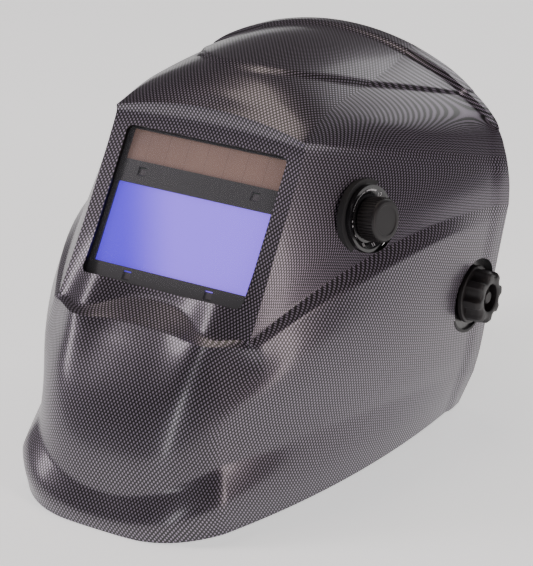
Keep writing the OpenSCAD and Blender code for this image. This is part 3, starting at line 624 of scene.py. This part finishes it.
w = studio["floorHalf"]
floor = newObject("floor", [(-w, -w, 0), (w, -w, 0), (w, w, 0), (-w, w, 0)], [(0, 1, 2, 3)], smooth=False)
floorMat, _, floorShader = newMaterial("palePaper", Roughness=0.9)
floorShader.inputs["Base Color"].default_value = colour(studio["floor"])
floorShader.inputs["Emission Color"].default_value = (1, 1, 1, 1)
floorShader.inputs["Emission Strength"].default_value = studio["floorGlow"]
giveMaterial(floor, floorMat)
print("studio ready")

# Tension knob: flute is how deep each one is cut, base is its seat's distance from the middle
tension = {"radius": 16.5, "height": 13, "base": 105.5, "flutes": 8, "flute": 2.6,
           "hollow": 8, "hollowDepth": 5}


def makeTensionKnob(side, name):
    r, h = tension["radius"], tension["height"]
    hole, drop = tension["hollow"], tension["hollowDepth"]
    inside = [(0.0, 7.4), (4.05, 7.4)]
    outside = [(4.05, 0.0), (r - 0.6, 0.0), (r, 0.5), (r, 2.6), (r - 0.5, 3.0), (r - 1.1, 3.2),
               (r - 1.2, h - 2.6), (r - 1.5, h - 1.2), (r - 2.4, h - 0.3), (r - 3.6, h),
               (hole + 0.6, h), (hole, h - 0.5), (hole, h - drop), (3.6, h - drop), (3.6, h - 2),
               (3.1, h - 1.5), (0.0, h - 1.5)]

    def wave(a, radius, height):
        if height < 3.1 or radius < hole + 1:
            return radius
        t = abs(((a * tension["flutes"] / (2 * math.pi)) % 1.0) - 0.5) * 2
        dip = max(0.0, 1 - (t / 0.62)**2)**0.6
        return radius - tension["flute"] * dip

    obj = lathe(name, inside + outside, 160, wave)
    moveMesh(obj, frameOf(pivotInHelmet, (side, 0, 0), (0, 0, 1))
             @ Matrix.Translation((0, 0, tension["base"])))
    obj.data.set_sharp_from_angle(angle=math.radians(40))
    node = "tension_knob_left" if side > 0 else "tension_knob_right"
    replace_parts(giveMaterial(obj, finishes["knob"]), node)
    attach(obj, "tension_left" if side > 0 else "tension_right")


makeTensionKnob(1, "tensionKnobLeft")
makeTensionKnob(-1, "tensionKnobRight")

# Shade knob: a ribbed barrel with a plain dished face
shadeKnob = {"radius": 11.5, "height": 11.5, "base": 0.6, "ribs": 40, "rib": 0.55, "bore": 3.0}


def makeShadeKnob():
    r, h, bore = shadeKnob["radius"], shadeKnob["height"], shadeKnob["bore"]
    profile = [(0.0, 7.2), (bore, 7.2), (bore, 4.0), (6.5, 4.0), (6.5, 0.0), (r - 0.3, 0.0), (r, 0.4),
               (r - 0.1, h - 1.4), (r - 0.5, h - 0.6), (r - 1.3, h - 0.1), (r - 2.0, h), (r - 3.2, h),
               (r - 3.6, h - 0.35), (0.0, h - 0.35)]
    obj = lathe("shadeKnobBody", profile, 128)
    moveMesh(obj, shadeFrame @ Matrix.Translation((0, 0, shadeKnob["base"])))
    obj.data.set_sharp_from_angle(angle=math.radians(40))
    return giveMaterial(obj, finishes["knob"])


def setInput(modifier, tree, name, value):
    for item in tree.interface.items_tree:
        if item.item_type == "SOCKET" and item.in_out == "INPUT" and item.name == name:
            modifier[item.identifier] = value


def nodesTree(name, inputs):
    tree = bpy.data.node_groups.new(name, "GeometryNodeTree")
    tree.interface.new_socket("Geometry", in_out="INPUT", socket_type="NodeSocketGeometry")
    tree.interface.new_socket("Geometry", in_out="OUTPUT", socket_type="NodeSocketGeometry")
    for label, kind, value in inputs:
        socket = tree.interface.new_socket(label, in_out="INPUT", socket_type=kind)
        if value is not None:
            socket.default_value = value
    return tree, addNode(tree, "NodeGroupInput"), addNode(tree, "NodeGroupOutput")


def bakeNodes(obj, tree, values):
    modifier = obj.modifiers.new("nodes", "NODES")
    modifier.node_group = tree
    for label, value in values.items():
        setInput(modifier, tree, label, value)
    return applyModifiers(obj)


def makeRibTree():
    # small rounded ribs round a circle about z
    tree, start, end = nodesTree("knobRibs", [
        ("Count", "NodeSocketInt", 40), ("Radius", "NodeSocketFloat", 11.0), ("Length", "NodeSocketFloat", 9.0),
        ("Thickness", "NodeSocketFloat", 0.4), ("Material", "NodeSocketMaterial", None)])
    circle = addNode(tree, "GeometryNodeMeshCircle", None,
                     {"Vertices": start.outputs["Count"], "Radius": start.outputs["Radius"]})
    rib = addNode(tree, "GeometryNodeMeshCylinder", None,
                  {"Vertices": 8, "Radius": start.outputs["Thickness"], "Depth": start.outputs["Length"]})
    spread = addNode(tree, "GeometryNodeInstanceOnPoints", None,
                     {"Points": circle.outputs[0], "Instance": rib.outputs["Mesh"]})
    real = addNode(tree, "GeometryNodeRealizeInstances", None, {0: spread.outputs[0]})
    paint = addNode(tree, "GeometryNodeSetMaterial", None,
                    {"Geometry": real.outputs[0], "Material": start.outputs["Material"]})
    tree.links.new(paint.outputs[0], end.inputs[0])
    return tree


knobBody = makeShadeKnob()
ribs = newObject("shadeKnobRibs", [(0, 0, 0)], [])
bakeNodes(ribs, makeRibTree(), {"Count": shadeKnob["ribs"], "Radius": shadeKnob["radius"] - 0.05,
                                "Length": shadeKnob["height"] - 2.2, "Thickness": shadeKnob["rib"],
                                "Material": finishes["knob"]})
moveMesh(ribs, shadeFrame @ Matrix.Translation((0, 0, shadeKnob["base"] + shadeKnob["height"] / 2 - 0.5)))
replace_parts(knobBody, "shade_knob")
for piece in (knobBody, ribs):
    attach(piece, "shade_control")

# Ratchet knob at the back of the head: base is its face's distance from the joint's point
ratchet = {"radius": 17, "height": 12, "flutes": 10, "flute": 1.7, "base": 5.3}


def makeRatchetKnob():
    axis = Vector(joints["ratchet_turn"]["axis"])
    r, h = ratchet["radius"], ratchet["height"]
    profile = [(0.0, 1.1), (3.9, 1.1), (3.9, 0.0), (r - 0.6, 0.0), (r, 0.5), (r, 2.6), (r - 1.4, 3.2),
               (r - 2, h - 1.5), (r - 3, h - 0.4), (r - 4.4, h), (r - 6, h - 0.3), (r - 7, h - 1.2),
               (0.0, h - 1.2)]

    def wave(a, radius, height):
        if height < 3.0 or radius < r - 5:
            return radius
        return radius - ratchet["flute"] * (0.5 + 0.5 * math.cos(a * ratchet["flutes"]))**2

    obj = lathe("ratchetKnob", profile, 160, wave)
    z = axis.normalized()
    x = Vector((1, 0, 0))
    m = Matrix((x, z.cross(x), z)).transposed().to_4x4()
    m.translation = Vector(joints["ratchet_turn"]["pos_m"])
    moveMesh(obj, m @ Matrix.Scale(mm, 4) @ Matrix.Translation((0, 0, ratchet["base"])))
    obj.data.set_sharp_from_angle(angle=math.radians(40))
    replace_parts(giveMaterial(obj, finishes["knob"]), "ratchet_knob")
    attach(obj, "ratchet_dial")


makeRatchetKnob()
print("knobs done")

# Dial print, on the sloping ring: patches are (from, to) in degrees, then inner and outer radius
marks = {"radius": 14.6, "height": 0.62, "tilt": -30, "textSize": 3.1,
         "patches": ((168, 172, 13.4, 15.6), (178, 182, 13.4, 15.6), (96, 150, 15.0, 15.5),
                     (60, 92, 14.9, 15.7)),
         "labels": (("9", 205), ("10", 238), ("11", 272), ("12", 310), ("13", 45)),
         "ringFrom": 13, "ringTo": 16.4, "ringLow": -0.5, "ringRise": 2.0, "above": 0.06}


def makeDialMarks():
    pieces = []

    def ringPatch(fromDeg, toDeg, rIn, rOut):
        steps = max(2, int(abs(toDeg - fromDeg) / 4))
        verts = []
        for i in range(steps + 1):
            a = math.radians(fromDeg + (toDeg - fromDeg) * i / steps)
            for r in (rIn, rOut):
                part = (r - marks["ringFrom"]) / (marks["ringTo"] - marks["ringFrom"])
                lift = marks["ringLow"] + marks["ringRise"] * part + marks["above"]
                verts.append((r * math.cos(a), r * math.sin(a), lift))
        faces = [(2 * i, 2 * i + 1, 2 * i + 3, 2 * i + 2) for i in range(steps)]
        o = newObject("patch", verts, faces, smooth=False)
        pieces.append(o)

    for patch in marks["patches"]:
        ringPatch(*patch)
    for label, angle in marks["labels"]:
        curve = bpy.data.curves.new("label", "FONT")
        curve.body = label
        curve.size = marks["textSize"]
        curve.align_x, curve.align_y = "CENTER", "CENTER"
        o = bpy.data.objects.new("label", curve)
        bpy.context.scene.collection.objects.link(o)
        bpy.context.view_layer.update()
        mesh = bpy.data.meshes.new_from_object(o.evaluated_get(bpy.context.evaluated_depsgraph_get()))
        bpy.data.objects.remove(o, do_unlink=True)
        label3d = bpy.data.objects.new("label", mesh)
        bpy.context.scene.collection.objects.link(label3d)
        a = math.radians(angle)
        at = Matrix.Translation((marks["radius"] * math.cos(a), marks["radius"] * math.sin(a),
                                 marks["height"]))
        face = (Matrix.Rotation(a, 4, "Z") @ Matrix.Rotation(math.radians(marks["tilt"]), 4, "Y")
                @ Matrix.Rotation(-a, 4, "Z"))
        moveMesh(label3d, at @ face)
        pieces.append(label3d)
    obj = joinMeshes("dialMarks", pieces)
    moveMesh(obj, shadeFrame)
    giveMaterial(obj, finishes["print"])
    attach(obj, "shell")


makeDialMarks()
print("dial done")

# Pads: lengths in mm; cap is the furthest that a point may move in the simulation
padding = {"voxel": 3.5, "shrink": 1.2, "pressure": 4.0, "frames": 20, "cap": 2.4}


def puffedPad(name, nodeName):
    source = frame["nodes"][nodeName]
    mesh = source.data.copy()
    obj = bpy.data.objects.new(name, mesh)
    bpy.context.scene.collection.objects.link(obj)
    work = bmesh.new()
    work.from_mesh(mesh)
    bmesh.ops.remove_doubles(work, verts=work.verts, dist=1e-6)
    bmesh.ops.recalc_face_normals(work, faces=work.faces)
    work.to_mesh(mesh)
    work.free()
    remesh = obj.modifiers.new("remesh", "REMESH")
    remesh.mode, remesh.voxel_size = "VOXEL", padding["voxel"] * mm
    smooth = obj.modifiers.new("smooth", "SMOOTH")
    smooth.iterations, smooth.factor = 4, 0.5
    applyModifiers(obj)
    for vert in obj.data.vertices:
        vert.co -= vert.normal * padding["shrink"] * mm
    rest = [vert.co.copy() for vert in obj.data.vertices]
    cloth = obj.modifiers.new("cloth", "CLOTH")
    cloth.settings.use_pressure = True
    cloth.settings.uniform_pressure_force = padding["pressure"]
    cloth.settings.effector_weights.gravity = 0
    cloth.settings.quality = 5
    scene = bpy.context.scene
    for step in range(1, padding["frames"] + 1):
        scene.frame_set(step)
    applyModifiers(obj)
    scene.frame_set(1)
    for vert, before in zip(obj.data.vertices, rest):
        move = vert.co - before
        if move.length > padding["cap"] * mm:
            vert.co = before + move.normalized() * padding["cap"] * mm
    return obj


def finishPad(obj, nodeName, body):
    low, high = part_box(nodeName)
    for vert in obj.data.vertices:
        for axis in range(3):
            vert.co[axis] = min(high[axis], max(low[axis], vert.co[axis]))
    subdivide = obj.modifiers.new("subdivide", "SUBSURF")
    subdivide.levels = subdivide.render_levels = 1
    applyModifiers(obj)
    obj.data.shade_smooth()
    giveMaterial(obj, finishes["knit"])
    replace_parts(obj, nodeName)
    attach(obj, body)
    return obj


# Stitch rows: inset from the pad's edge; reach in degrees each way; search is half the height tried
stitch = {"pitch": 3.4, "length": 2.3, "thread": 0.34, "inset": 3.2, "reach": 75, "search": 32}


def makeStitchTree():
    # thread stitches at equal steps along an edge path, each lying along it
    tree, start, end = nodesTree("stitchRow", [
        ("Pitch", "NodeSocketFloat", 0.0034), ("Length", "NodeSocketFloat", 0.0023),
        ("Thread", "NodeSocketFloat", 0.0003), ("Material", "NodeSocketMaterial", None)])
    path = addNode(tree, "GeometryNodeMeshToCurve", None, {"Mesh": start.outputs["Geometry"]})
    steps = addNode(tree, "GeometryNodeCurveToPoints", {"mode": "LENGTH"},
                    {"Curve": path.outputs[0], "Length": start.outputs["Pitch"]})
    bead = addNode(tree, "GeometryNodeMeshUVSphere", None, {"Segments": 8, "Rings": 6, "Radius": 0.5})
    size = addNode(tree, "ShaderNodeCombineXYZ", None,
                   {0: start.outputs["Thread"], 1: start.outputs["Thread"], 2: start.outputs["Length"]})
    spread = addNode(tree, "GeometryNodeInstanceOnPoints", None,
                     {"Points": steps.outputs["Points"], "Instance": bead.outputs["Mesh"],
                      "Rotation": steps.outputs["Rotation"], "Scale": size.outputs[0]})
    real = addNode(tree, "GeometryNodeRealizeInstances", None, {0: spread.outputs[0]})
    paint = addNode(tree, "GeometryNodeSetMaterial", None,
                    {"Geometry": real.outputs[0], "Material": start.outputs["Material"]})
    tree.links.new(paint.outputs[0], end.inputs[0])
    return tree


stitchTree = makeStitchTree()
# Middle of the head ring, in metres
headCentre = Vector((0, 0.0671, 0.1253))
headBack = Vector(joints["ratchet_turn"]["axis"]).normalized()
headUp = Vector((1, 0, 0)).cross(headBack)


def surfaceAt(pad, facing, degrees, height):
    turn = math.radians(degrees)
    ray = headBack * facing * math.cos(turn) + Vector((math.sin(turn), 0, 0))
    hit, where, _, _ = pad.ray_cast(headCentre + headUp * height * mm, ray)
    return where if hit else None


def stitchPad(pad, padName, facing, body):
    rows = [h for h in range(-stitch["search"], stitch["search"] + 1) if surfaceAt(pad, facing, 0, h)]
    verts, edges = [], []
    for height in (min(rows) + stitch["inset"], max(rows) - stitch["inset"]):
        previous = None
        for degrees in range(-stitch["reach"], stitch["reach"] + 1, 2):
            where = surfaceAt(pad, facing, degrees, height)
            if where:
                verts.append(where)
                if previous is not None:
                    edges.append((previous, len(verts) - 1))
                previous = len(verts) - 1
    mesh = bpy.data.meshes.new(padName + "Stitches")
    mesh.from_pydata(verts, edges, [])
    obj = bpy.data.objects.new(padName + "Stitches", mesh)
    bpy.context.scene.collection.objects.link(obj)
    bakeNodes(obj, stitchTree, {"Pitch": stitch["pitch"] * mm, "Length": stitch["length"] * mm,
                                "Thread": stitch["thread"] * 2 * mm, "Material": finishes["thread"]})
    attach(obj, body)


for padName, nodeName, body, facing in (("foreheadSweatband", "front_sweatband", "headgear", -1),
                                        ("napePad", "nape_pad", "rear_unit", 1)):
    pad = finishPad(puffedPad(padName, nodeName), nodeName, body)
    stitchPad(pad, padName, facing, body)
print("pads done")
